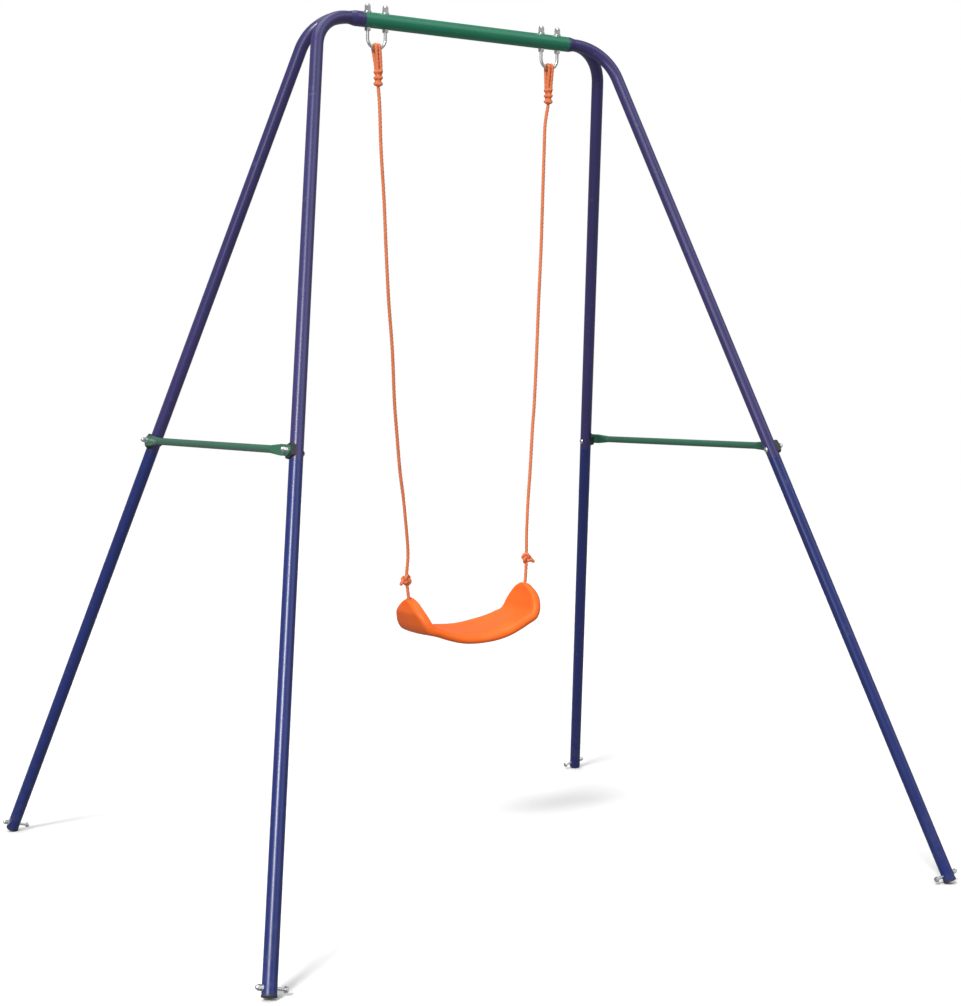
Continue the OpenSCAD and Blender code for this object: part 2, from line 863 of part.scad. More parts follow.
foot_bolt(1, 1);  // foot_bolt_back_right
foot_washers(-1);  // foot_washers_left
foot_washers(1);  // foot_washers_right
foot_cap_nuts(-1);  // foot_cap_nuts_left
foot_cap_nuts(1);  // foot_cap_nuts_right
ubolt(-1);  // ubolt_left
ubolt(1);  // ubolt_right
ubolt_pads(-1);  // ubolt_pads_left
ubolt_pads(1);  // ubolt_pads_right
ubolt_cap_nuts(-1);  // ubolt_cap_nuts_left
ubolt_cap_nuts(1);  // ubolt_cap_nuts_right
ubolt_lock_nuts(-1);  // ubolt_lock_nuts_left
ubolt_lock_nuts(1);  // ubolt_lock_nuts_right
rope_eye(-1, LEFT_LASH_X);  // rope_eye_left
rope_eye(1, RIGHT_LASH_X);  // rope_eye_right
rope_lashing(LEFT_LASH_X);  // rope_lashing_left
rope_lashing(RIGHT_LASH_X);  // rope_lashing_right
rope_line(LEFT_LASH_X, LEFT_ROUTE, pivot_left);  // rope_left
rope_line(RIGHT_LASH_X, RIGHT_ROUTE, pivot_right);  // rope_right
rope_knot(-1, LEFT_KNOT);  // rope_knot_left
rope_knot(1, RIGHT_KNOT);  // rope_knot_right
rope_stopper(-1);  // rope_stopper_left
rope_stopper(1);  // rope_stopper_right
seat();
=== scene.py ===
import math

import bpy
import numpy as np
from bpy.props import FloatProperty, FloatVectorProperty, IntProperty, PointerProperty
from mathutils import Matrix, Vector


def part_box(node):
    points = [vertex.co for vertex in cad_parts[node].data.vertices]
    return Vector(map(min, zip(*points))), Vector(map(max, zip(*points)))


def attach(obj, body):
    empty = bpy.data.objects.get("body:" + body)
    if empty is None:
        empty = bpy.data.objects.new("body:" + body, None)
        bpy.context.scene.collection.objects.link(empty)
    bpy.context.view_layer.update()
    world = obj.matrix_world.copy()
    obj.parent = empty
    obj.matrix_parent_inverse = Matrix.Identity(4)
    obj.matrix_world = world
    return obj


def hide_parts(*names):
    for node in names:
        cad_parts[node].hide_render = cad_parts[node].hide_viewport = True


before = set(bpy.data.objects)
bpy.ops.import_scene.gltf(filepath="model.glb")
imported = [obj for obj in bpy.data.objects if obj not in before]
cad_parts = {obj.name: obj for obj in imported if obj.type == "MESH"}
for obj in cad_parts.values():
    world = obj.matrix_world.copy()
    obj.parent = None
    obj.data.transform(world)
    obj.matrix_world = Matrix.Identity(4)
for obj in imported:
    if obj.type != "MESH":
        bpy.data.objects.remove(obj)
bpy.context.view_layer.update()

bl_info = {
    "name": "Single Swing Set",
    "version": (1, 0, 0),
    "blender": (4, 5, 0),
    "location": "3D View > Sidebar > Swing Set",
    "description": "Ropes, lashings, knots, seat and finishes of a single garden swing",
    "category": "Add Mesh",
}

SIDES = {"left": -1, "right": 1}

# ---- Rope routes, in metres: from inside the lashing to the mouth of the seat's ear ----

LEFT_ROUTE = [
    (-0.221, 0, 1.747), (-0.217, 0, 1.700), (-0.213, 0, 1.608), (-0.205, 0, 1.500),
    (-0.199, 0, 1.388), (-0.192, 0, 1.278), (-0.182, 0, 1.167), (-0.176, 0, 1.055),
    (-0.170, 0, 0.988), (-0.161, 0, 0.898), (-0.151, 0, 0.830), (-0.141, 0, 0.740),
    (-0.139, 0, 0.700), (-0.142, 0, 0.655), (-0.13556, 0, 0.5995),
]
RIGHT_ROUTE = [
    (0.225, 0, 1.747), (0.217, 0, 1.700), (0.215, 0, 1.640), (0.212, 0, 1.524),
    (0.209, 0, 1.407), (0.204, 0, 1.290), (0.200, 0, 1.174), (0.195, 0, 1.057),
    (0.190, 0, 0.987), (0.185, 0, 0.894), (0.180, 0, 0.823), (0.177, 0, 0.750),
    (0.177, 0, 0.710), (0.177, 0, 0.680), (0.17356, 0, 0.6225),
]
ROUTES = {"left": LEFT_ROUTE, "right": RIGHT_ROUTE}
KNOT_AT = {"left": (-0.1425, 0, 0.649), "right": (0.1775, 0, 0.687)}

# ---- Eye of rope over the U-bolt, and the lashing under it ----

ROD_X = 0.226
ROD_Z = 1.829
EYE_R = 0.0085
EYE_STRAND_X = 0.0042
LASH_R = 0.0066
LASH_CORE_R = 0.0078
LASH_TURNS = 3
LASH_PITCH = 0.0132
LASH_TIP = 0.0012

# ---- Seat, in its own frame: origin under its middle, X along it, Z up ----

SEAT_T = 0.020
PAN_R = 0.330
BEND_R = 0.052
EAR_ANGLE = math.radians(73)
EAR_TOP = 0.108
STOPPER_DEPTH = 0.0215
MOUTH_R = 0.0082
MOUTH_LIP = 0.0087
BORE_R = 0.0052
CONE_DEPTH = 0.006
BORE_DEPTH = 0.034
RING_POINTS = 128
FIRST_FLAT = 0.117
FLAT_ROUNDS = 8
EAR_ROUND = 0.60
LIP_FADE = 0.004
WALL_FADE = 0.003
PAN_FADE_FROM = 0.035
PAN_FADE_OVER = 0.110
BOW_FROM = 0.36
BOW_OVER = 0.55
BOW_FADE = 0.030
REAR_LIP = 0.0070
FRONT_LIP = 0.0095
HOLLOW = 0.0015
EAR_BOW = 0.0042
EAR_SWELL = 0.0050

# ---- Knot, in metres: a three-lobed ring with a cut tail, the right one; the left is mirrored ----

KNOT_RING = 0.0064
KNOT_LOBE = 0.0036
KNOT_DEPTH = 0.0042
KNOT_TAIL = [(0.010, -0.003, -0.002), (0.0150, -0.004, -0.007), (0.0180, -0.004, -0.011)]

# ---- Camera, lamps and floor: places in metres, sensor and lens in millimetres ----

EYE = (-2.194709, -3.795365, 1.068322)
EYE_RIGHT = (0.85170326, -0.52394181, 0.00930248)
EYE_UP = (0.0203952, 0.0508819, 0.9984964)
SENSOR = 36.0
LENS = 68.393
SHIFT = (-0.0338, -0.0042)
SUN_PLACE = (0, 0, 3)
FLOOR_HALF = 14.0


# ------------------------------------------------------------------ settings


class SwingRopeSettings(bpy.types.PropertyGroup):
    """Size and colour of the rope"""

    diameter: FloatProperty(
        name="Diameter", description="Thickness of the rope", default=0.008,
        min=0.006, max=0.012, unit="LENGTH",
    )
    lay: FloatProperty(
        name="Lay", description="Length of one full turn of a strand", default=0.027,
        min=0.01, max=0.06, unit="LENGTH",
    )
    strands: IntProperty(
        name="Strands", description="Strands twisted together", default=3, min=2, max=6
    )
    colour: FloatVectorProperty(
        name="Colour", description="Colour of the fibre", subtype="COLOR",
        default=(0.80, 0.185, 0.058),
    )


class SwingSeatSettings(bpy.types.PropertyGroup):
    """Size and colour of the seat"""

    width: FloatProperty(
        name="Width", description="Depth of the seat from front lip to rear lip", default=0.150,
        min=0.12, max=0.2, unit="LENGTH",
    )
    colour: FloatVectorProperty(
        name="Colour", description="Colour of the moulded plastic", subtype="COLOR",
        default=(1.0, 0.128, 0.008),
    )


class SwingFrameSettings(bpy.types.PropertyGroup):
    """Colours of the tubes and their fittings"""

    # Upper legs: the blue paint of the lower legs made a little lighter and more violet, a painted
    # sheen
    leg_colour_with_sheen: FloatVectorProperty(
        name="Upper legs", description="Powder coat of the upper legs", subtype="COLOR",
        default=(0.034, 0.028, 0.125),
    )
    foot_colour: FloatVectorProperty(
        name="Lower legs", description="Powder coat of the lower legs", subtype="COLOR",
        default=(0.010, 0.020, 0.130),
    )
    beam_colour: FloatVectorProperty(
        name="Beam", description="Powder coat of the beam", subtype="COLOR",
        default=(0.008, 0.170, 0.090),
    )
    brace_colour: FloatVectorProperty(
        name="Braces", description="Powder coat of the braces", subtype="COLOR",
        default=(0.024, 0.120, 0.070),
    )
    zinc_colour: FloatVectorProperty(
        name="Zinc", description="Plating of the bolts and nuts", subtype="COLOR",
        default=(0.66, 0.67, 0.68),
    )
    plastic_colour: FloatVectorProperty(
        name="Plugs", description="Plastic of the foot plugs and saddles", subtype="COLOR",
        default=(0.022, 0.022, 0.025),
    )


class SwingStageSettings(bpy.types.PropertyGroup):
    """Floor and light"""

    floor_colour: FloatVectorProperty(
        name="Floor", description="Colour of the floor", subtype="COLOR",
        default=(0.90, 0.90, 0.90),
    )
    key_power: FloatProperty(
        name="Key light", description="Strength of the main soft light", default=2.55, min=0.0
    )
    panel_power: FloatProperty(
        name="Side panel", description="Power of the soft panel beside the frame",
        default=34.0, min=0.0, unit="POWER",
    )
    room_light: FloatProperty(
        name="Room light", description="Strength of the light from all round", default=0.30, min=0.0
    )


# ------------------------------------------------------------------ shader maths


class Wire:
    """One output of a node tree that takes part in Python expressions.

    Every operation adds one Math node and returns its output."""

    def __init__(self, tree, socket):
        self.tree, self.socket = tree, socket

    def math(self, operation, *values):
        node = self.tree.nodes.new("ShaderNodeMath")
        node.operation = operation
        for place, value in zip(node.inputs, values):
            join(self.tree, value, place)
        return Wire(self.tree, node.outputs[0])

    def __add__(self, other):
        return self.math("ADD", self, other)

    def __sub__(self, other):
        return self.math("SUBTRACT", self, other)

    def __rsub__(self, other):
        return self.math("SUBTRACT", other, self)

    def __mul__(self, other):
        return self.math("MULTIPLY", self, other)

    __radd__, __rmul__ = __add__, __mul__

    def sine(self):
        return self.math("SINE", self)

    def step(self, low, high):
        """0 below low, 1 above high and a smooth rise between them."""
        node = self.tree.nodes.new("ShaderNodeMapRange")
        node.interpolation_type = "SMOOTHSTEP"
        for place, value in zip(node.inputs, (self, low, high, 0.0, 1.0)):
            join(self.tree, value, place)
        return Wire(self.tree, node.outputs[0])


def join(tree, value, place):
    """Links a wire to a socket, or sets the socket's value."""
    if isinstance(value, Wire):
        tree.links.new(value.socket, place)
    elif hasattr(place.default_value, "__len__") and hasattr(value, "__len__"):
        place.default_value = (*value, 1.0)[: len(place.default_value)]
    else:
        place.default_value = value


class Finish:
    """A material with one Principled surface, built from wires."""

    def __init__(self, name):
        self.material = bpy.data.materials.new(name)
        self.material.use_nodes = True
        self.tree = self.material.node_tree
        self.tree.nodes.clear()
        self.surface = self.tree.nodes.new("ShaderNodeBsdfPrincipled")
        out = self.tree.nodes.new("ShaderNodeOutputMaterial")
        self.tree.links.new(self.surface.outputs[0], out.inputs["Surface"])

    def node(self, kind, output=0, settings=None, **inputs):
        """Adds a node of a type with its settings, then its sockets' values or links."""
        node = self.tree.nodes.new(kind)
        for key, value in (settings or {}).items():
            setattr(node, key, value)
        for key, value in inputs.items():
            join(self.tree, value, node.inputs[key.replace("_", " ")])
        return Wire(self.tree, node.outputs[output])

    def place(self, name="Object"):
        """Object or UV coordinates."""
        return self.node("ShaderNodeTexCoord", output=name)

    def axes(self, vector):
        """The three numbers of a vector."""
        split = self.tree.nodes.new("ShaderNodeSeparateXYZ")
        join(self.tree, vector, split.inputs[0])
        return [Wire(self.tree, out) for out in split.outputs]

    def noise(self, vector, scale, detail=3.0, roughness=0.5):
        return self.node(
            "ShaderNodeTexNoise", Vector=vector, Scale=scale, Detail=detail, Roughness=roughness
        )

    def blend(self, factor, low, high):
        """Mixes two colours."""
        node = self.tree.nodes.new("ShaderNodeMix")
        node.data_type = "RGBA"
        sockets = (node.inputs[0], node.inputs[6], node.inputs[7])
        for place, value in zip(sockets, (factor, low, high)):
            join(self.tree, value, place)
        return Wire(self.tree, node.outputs[2])

    def bump(self, height, strength, distance):
        return self.node("ShaderNodeBump", Height=height, Strength=strength, Distance=distance)

    def coat(self, **inputs):
        """Sets or links the surface's own sockets and returns the material."""
        for key, value in inputs.items():
            join(self.tree, value, self.surface.inputs[key.replace("_", " ")])
        return self.material


def shade(colour, factor):
    """A colour made darker or lighter by a number."""
    return tuple(min(1.0, channel * factor) for channel in colour)


def towards(colour, other, share):
    """A colour moved part of the way to another."""
    return tuple(a + (b - a) * share for a, b in zip(colour, other))


def powder_coat(name, colour):
    """Sprayed and baked paint: orange peel, cloudy tone, chalky rubs and dust from the ground."""
    fin = Finish(name)
    at = fin.place()
    height = fin.axes(at)[2]
    cloud = fin.noise(at, 9.0, 4.0)
    peel = fin.noise(at, 420.0, 2.0)
    rub = fin.noise(at, 55.0, 5.0, 0.62).step(0.60, 0.72)
    splash = (1 - height.step(0.0, 0.30)) * fin.noise(at, 38.0, 5.0, 0.65).step(0.42, 0.70)
    tone = fin.blend(cloud, shade(colour, 0.82), shade(colour, 1.18))
    tone = fin.blend(rub * 0.07, tone, towards(colour, (0.62, 0.62, 0.66), 0.45))
    tone = fin.blend(splash * 0.06, tone, (0.32, 0.28, 0.23))
    return fin.coat(
        Base_Color=tone,
        Roughness=0.30 + cloud * 0.10 + rub * 0.12 + splash * 0.12,
        Specular_IOR_Level=0.40,
        Coat_Weight=0.26 - rub * 0.12,
        Coat_Roughness=0.22,
        Normal=fin.bump(peel + cloud * 0.3 - rub * 0.25, 0.06, 0.0003),
    )


def zinc_plate(name, colour):
    """Plated steel: small crystals of varied tone, dull patches and fine turning marks."""
    fin = Finish(name)
    at = fin.place()
    height = fin.axes(at)[2]
    crystal = fin.node("ShaderNodeTexVoronoi", Vector=at, Scale=330.0)
    cloud = fin.noise(at, 120.0, 4.0, 0.6)
    dull = fin.noise(at, 70.0, 3.0).step(0.52, 0.70)
    marks = (height * 9000.0).sine() * 0.5 + 0.5
    tone = fin.blend(crystal * 1.4, shade(colour, 0.86), shade(colour, 1.10))
    tone = fin.blend(dull * 0.35, tone, (0.44, 0.43, 0.40))
    return fin.coat(
        Base_Color=tone,
        Metallic=1.0 - dull * 0.30,
        Roughness=0.24 + cloud * 0.16 + dull * 0.16,
        Normal=fin.bump(marks * 0.35 + cloud, 0.14, 0.0003),
    )


def black_plastic(name, colour):
    """Moulded plastic with a fine grain, scuffed paler where it rubs and dusty near the ground."""
    fin = Finish(name)
    at = fin.place()
    height = fin.axes(at)[2]
    grain = fin.noise(at, 650.0, 2.0)
    cloud = fin.noise(at, 60.0, 4.0)
    scuff = fin.noise(at, 190.0, 5.0, 0.7).step(0.56, 0.68)
    dust = (1 - height.step(0.0, 0.06)) * cloud.step(0.35, 0.65)
    tone = fin.blend(cloud, shade(colour, 0.7), shade(colour, 1.6))
    tone = fin.blend(scuff * 0.16, tone, (0.12, 0.12, 0.12))
    tone = fin.blend(dust * 0.07, tone, (0.26, 0.23, 0.19))
    return fin.coat(
        Base_Color=tone,
        Roughness=0.42 + grain * 0.12 + scuff * 0.12 + dust * 0.2,
        Normal=fin.bump(grain + scuff * 0.4, 0.30, 0.0004),
    )


def seat_plastic(name, colour):
    """Blow-moulded plastic: fine pebble grain, slow change of tone, scuffs and grime in the pan."""
    fin = Finish(name)
    at = fin.place()
    height = fin.axes(at)[2]
    pebble = fin.node(
        "ShaderNodeTexVoronoi", settings={"feature": "SMOOTH_F1"}, Vector=at, Scale=760.0
    )
    cloud = fin.noise(at, 14.0, 4.0)
    fine = fin.noise(at, 240.0, 3.0)
    low = 1 - height.step(0.52, 0.585)
    scuff = fin.noise(at, 75.0, 6.0, 0.68).step(0.52, 0.70) * (low * 0.8 + 0.2)
    tone = fin.blend(cloud, shade(colour, 0.90), towards(colour, (1.0, 0.30, 0.06), 0.35))
    tone = fin.blend(scuff * 0.14, tone, (0.85, 0.34, 0.14))
    tone = fin.blend(fine.step(0.60, 0.75) * 0.10, tone, (0.50, 0.10, 0.03))
    return fin.coat(
        Base_Color=tone,
        Roughness=0.36 + fine * 0.12 + scuff * 0.16,
        Specular_IOR_Level=0.22,
        Normal=fin.bump(pebble * 0.8 + fine * 0.4 - scuff * 0.2, 0.16, 0.0005),
    )


def rope_fibre(name, colour, strands):
    """Twisted yarns: the UV map runs along the rope in turns of lay and once round it.

    The yarns of a strand lean against its lay; painted shade darkens the grooves between the yarns
    and painted highlight lightens their crests."""
    fin = Finish(name)
    along, around, _ = fin.axes(fin.place("UV"))
    at = fin.place()
    turn = 2 * math.pi
    strand = ((around - along) * (strands * turn)).sine()
    yarn_relief_and_shade = ((around * 6.0 + along * 9.0) * turn).sine() * 0.5 + 0.5
    fuzz = fin.noise(at, 1500.0, 3.0, 0.7)
    cloud = fin.noise(at, 26.0, 4.0)
    soil = fin.noise(at, 90.0, 4.0, 0.6).step(0.50, 0.70)
    # Painted shade and highlight: the tone is darker in the yarn grooves and lighter on their
    # crests
    tone = fin.blend(yarn_relief_and_shade, shade(colour, 0.66), shade(colour, 1.12))
    tone = fin.blend(cloud * 0.5, tone, towards(colour, (0.95, 0.45, 0.25), 0.5))
    tone = fin.blend(fuzz.step(0.58, 0.74) * 0.40, tone, (1.0, 0.55, 0.34))
    tone = fin.blend(soil * 0.22, tone, (0.24, 0.09, 0.05))
    return fin.coat(
        Base_Color=tone,
        Roughness=0.58 + fuzz * 0.24,
        Specular_IOR_Level=0.35,
        Normal=fin.bump(yarn_relief_and_shade * 0.8 + fuzz * 0.5 + strand * 0.1, 0.55, 0.0007),
    )


def floor_finish(name, colour):
    """Matt sheet with a faint change of tone."""
    fin = Finish(name)
    cloud = fin.noise(fin.place(), 1.5, 2.0)
    return fin.coat(Base_Color=fin.blend(cloud, shade(colour, 0.985), colour), Roughness=0.9,
                    Specular_IOR_Level=0.1)


# ------------------------------------------------------------------ surfaces


def curve_through(points, steps):
    """A Catmull-Rom line: each stretch is the cubic through its two ends whose slopes are half the
    difference of the neighbours, with the end points repeated."""
    p = np.array(points, float)
    p = np.vstack([2 * p[0] - p[1], p, 2 * p[-1] - p[-2]])
    t = np.linspace(0, 1, steps, endpoint=False)[None, :, None]
    a, b, c, d = (p[i : len(p) - 3 + i, None, :] for i in range(4))
    line = 0.5 * (
        2 * b + (c - a) * t + (2 * a - 5 * b + 4 * c - d) * t**2 + (3 * b - a - 3 * c + d) * t**3
    )
    return np.vstack([line.reshape(-1, 3), p[-2]])


def even(line, gap):
    """The line again, with points the same distance apart."""
    run = np.concatenate([[0], np.cumsum(np.linalg.norm(np.diff(line, axis=0), axis=1))])
    at = np.linspace(0, run[-1], max(3, int(run[-1] / gap) + 1))
    return np.stack([np.interp(at, run, line[:, k]) for k in range(3)], 1)


def skin(name, rings, along):
    """A closed mesh over a grid of points: ring i, corner j, with a fan to the middle of each end.

    The UV map holds the distance given for each ring and the share of the way round it."""
    count, around = rings.shape[:2]
    ends = np.stack([rings[0].mean(0), rings[-1].mean(0)])
    i, j = (m.ravel() for m in np.meshgrid(np.arange(count - 1), np.arange(around), indexing="ij"))
    k = (j + 1) % around
    quads = np.stack(
        [i * around + j, i * around + k, (i + 1) * around + k, (i + 1) * around + j], 1
    )
    share = np.stack([j, j + 1, j + 1, j], 1) / around
    quad_uv = np.stack([along[np.stack([i, i, i + 1, i + 1], 1)], share], 2)
    j = np.arange(around)
    k = (j + 1) % around
    first, last = count * around, count * around + 1
    base = (count - 1) * around
    fans = np.vstack([
        np.stack([np.full(around, first), k, j], 1),
        np.stack([np.full(around, last), base + j, base + k], 1),
    ])
    fan_share = np.vstack([
        np.stack([j + 0.5, j + 1, j], 1), np.stack([j + 0.5, j, j + 1], 1),
    ]) / around
    fan_run = np.repeat([along[0], along[-1]], around)[:, None].repeat(3, 1)
    fan_uv = np.stack([fan_run, fan_share], 2)

    points = np.vstack([rings.reshape(-1, 3), ends])
    a, b, c = points[quads[:, 0]], points[quads[:, 1]], points[quads[:, 2]]
    d = points[quads[:, 3]]
    volume = (
        np.einsum("ij,ij->i", a, np.cross(b, c)) + np.einsum("ij,ij->i", a, np.cross(c, d))
    ).sum()
    if volume < 0:
        quads, quad_uv = quads[:, ::-1], quad_uv[:, ::-1]
        fans, fan_uv = fans[:, ::-1], fan_uv[:, ::-1]

    mesh = bpy.data.meshes.new(name)
    mesh.vertices.add(len(points))
    mesh.vertices.foreach_set("co", points.ravel())
    mesh.loops.add(quads.size + fans.size)
    corners = np.concatenate([quads.ravel(), fans.ravel()])
    mesh.loops.foreach_set("vertex_index", corners.astype(np.int32))
    mesh.polygons.add(len(quads) + len(fans))
    starts = np.concatenate([np.arange(len(quads)) * 4, quads.size + np.arange(len(fans)) * 3])
    mesh.polygons.foreach_set("loop_start", starts.astype(np.int32))
    mesh.polygons.foreach_set("use_smooth", np.ones(len(starts), bool))
    mesh.update(calc_edges=True)
    layer = mesh.uv_layers.new(name="UVMap")
    places = np.concatenate([quad_uv.ravel(), fan_uv.ravel()])
    layer.data.foreach_set("uv", places.astype(np.float32))
    if mesh.validate():
        raise RuntimeError(f"the mesh of {name} had faults")
    obj = bpy.data.objects.new(name, mesh)
    bpy.context.scene.collection.objects.link(obj)
    return obj


def twisted(name, line, radius, across, rope, relief=0.24, around=30):
    """A rope: circles square to the line whose radius dips between the strands.

    At angle a and distance s along the line the radius is r times
    (1 - relief (1 - |cos(n/2 (a - turn))|)), where n is the number of strands and turn goes
    round once in each lay. The ends are rounded over.
    across is a direction that the line never runs along; it sets where the angle starts."""
    ahead = np.gradient(line, axis=0)
    ahead /= np.linalg.norm(ahead, axis=1)[:, None]
    side = np.cross(ahead, across)
    side /= np.linalg.norm(side, axis=1)[:, None]
    rise = np.cross(side, ahead)
    run = np.concatenate([[0], np.cumsum(np.linalg.norm(np.diff(line, axis=0), axis=1))])
    angle = np.linspace(0, 2 * math.pi, around, endpoint=False)[None]
    lobes = np.abs(np.cos(rope.strands / 2 * (angle - 2 * math.pi * run[:, None] / rope.lay)))
    from_end = np.minimum(run, run[-1] - run)[:, None]
    cap = np.sqrt(np.clip(1 - (1 - np.clip(from_end / (0.6 * radius), 0, 1)) ** 2, 0.09, 1))
    out = (radius * (1 - relief * (1 - lobes)) * cap)[:, :, None]
    rings = line[:, None] + out * (
        np.cos(angle)[:, :, None] * side[:, None] + np.sin(angle)[:, :, None] * rise[:, None]
    )
    return skin(name, rings, run / rope.lay)


def give(obj, material, body, slot, *nodes):
    """Finishes a piece: material, moving body and the CAD nodes that it stands for; slot is not
    used.
    """
    obj.data.materials.append(material)
    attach(obj, body)
    if nodes:
        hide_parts(*nodes)
    return obj


def rope_material(settings):
    name = "Rope fibre"
    made = bpy.data.materials.get(name)
    return made or rope_fibre(name, tuple(settings.colour), settings.strands)


# ------------------------------------------------------------------ operators


def hang(lamp, place, toward):
    """Hangs a lamp at a place, facing a direction."""
    holder = bpy.data.objects.new(lamp.name, lamp)
    holder.rotation_mode = "QUATERNION"
    holder.location = place
    holder.rotation_quaternion = Vector(toward).to_track_quat("-Z", "Y")
    bpy.context.scene.collection.objects.link(holder)
    return holder


def sun(name, toward, spread, power):
    """Even light from one side; a wider spread, in degrees, gives softer shadows."""
    lamp = bpy.data.lights.new(name, "SUN")
    lamp.energy, lamp.angle = power, math.radians(spread)
    return hang(lamp, SUN_PLACE, toward)


def panel(name, place, toward, size, power):
    """A soft box of a width and height."""
    lamp = bpy.data.lights.new(name, "AREA")
    lamp.shape, lamp.energy = "RECTANGLE", power
    lamp.size, lamp.size_y = size
    return hang(lamp, place, toward)


class SWINGSET_OT_stage(bpy.types.Operator):
    """Adds the pale floor, the soft lights and the camera"""

    bl_idname = "swingset.stage"
    bl_label = "Stage"

    def execute(self, context):
        look = context.scene.swing_stage
        scene = context.scene
        scene.view_settings.view_transform = "Standard"

        camera = bpy.data.cameras.new("Camera")
        camera.sensor_width, camera.lens = SENSOR, LENS
        camera.shift_x, camera.shift_y = SHIFT
        eye = bpy.data.objects.new("Camera", camera)
        right, up = Vector(EYE_RIGHT), Vector(EYE_UP)
        back = right.cross(up)
        turn = Matrix((right, up, back)).transposed()
        eye.matrix_world = Matrix.Translation(EYE) @ turn.to_4x4()
        scene.collection.objects.link(eye)
        scene.camera = eye

        signs = ((-1, -1), (1, -1), (1, 1), (-1, 1))
        corners = [(x * FLOOR_HALF, y * FLOOR_HALF, 0) for x, y in signs]
        mesh = bpy.data.meshes.new("Floor")
        mesh.from_pydata(corners, [], [(0, 1, 2, 3)])
        floor = bpy.data.objects.new("Floor", mesh)
        floor.data.materials.append(floor_finish("Floor sheet", tuple(look.floor_colour)))
        scene.collection.objects.link(floor)

        lamps = [
            sun("Key light", (0.80, 0.62, -0.85), 14.0, look.key_power),
            sun("Fill light", (-0.60, 0.75, -0.8), 45.0, look.key_power * 0.22),
            sun("Top light", (0.05, -0.15, -1.0), 50.0, look.key_power * 0.45),
            panel("Side panel", (-2.9, -2.0, 1.5), (2.2, 1.4, -0.35), (0.9, 2.2), look.panel_power),
        ]
        floor.visible_diffuse = floor.visible_glossy = False

        # The sheet behind is white to the eye, and the room that lights the piece is darker
        world = bpy.data.worlds.new("Studio")
        world.use_nodes = True
        tree = world.node_tree
        sky = tree.nodes["Background"]
        ray = Wire(tree, tree.nodes.new("ShaderNodeLightPath").outputs["Is Camera Ray"])
        join(tree, (1.0, 1.0, 1.0, 1.0), sky.inputs["Color"])
        join(tree, ray * (1.0 - look.room_light) + look.room_light, sky.inputs["Strength"])
        scene.world = world
        return {"FINISHED"}


class SWINGSET_OT_ropes(bpy.types.Operator):
    """Adds the two hanging ropes, each a line of twisted strands from its lashing to the seat"""

    bl_idname = "swingset.ropes"
    bl_label = "Ropes"

    def execute(self, context):
        rope = context.scene.swing_rope
        for side, route in ROUTES.items():
            line = even(curve_through(route, 12), 0.0016)
            obj = twisted(f"rope_line_{side}", line, rope.diameter / 2, (0, 1, 0), rope)
            give(obj, rope_material(rope), f"rope_{side}", "rope", f"rope_{side}")
        return {"FINISHED"}


class SWINGSET_OT_knots(bpy.types.Operator):
    """Adds the overhand knot in each rope above the seat, with its cut tail"""

    bl_idname = "swingset.knots"
    bl_label = "Knots"

    def execute(self, context):
        rope = context.scene.swing_rope
        for side, sign in SIDES.items():
            t = np.linspace(0, 2 * math.pi, 260)
            ring = KNOT_RING + KNOT_LOBE * np.cos(3 * t)
            knot = np.stack(
                [ring * np.cos(2 * t) * sign, KNOT_DEPTH * np.sin(3 * t), ring * np.sin(2 * t)], 1
            )
            tail = np.array(KNOT_TAIL)
            tail[:, 0] *= sign
            line = np.array(KNOT_AT[side]) + even(np.vstack([knot, tail]), 0.0007)
            obj = twisted(
                f"tied_knot_{side}", line, rope.diameter / 2 * 1.04, (0.02, 0.999, 0.03), rope,
                around=24,
            )
            give(obj, rope_material(rope), f"rope_{side}", "rope", f"rope_knot_{side}")
        return {"FINISHED"}


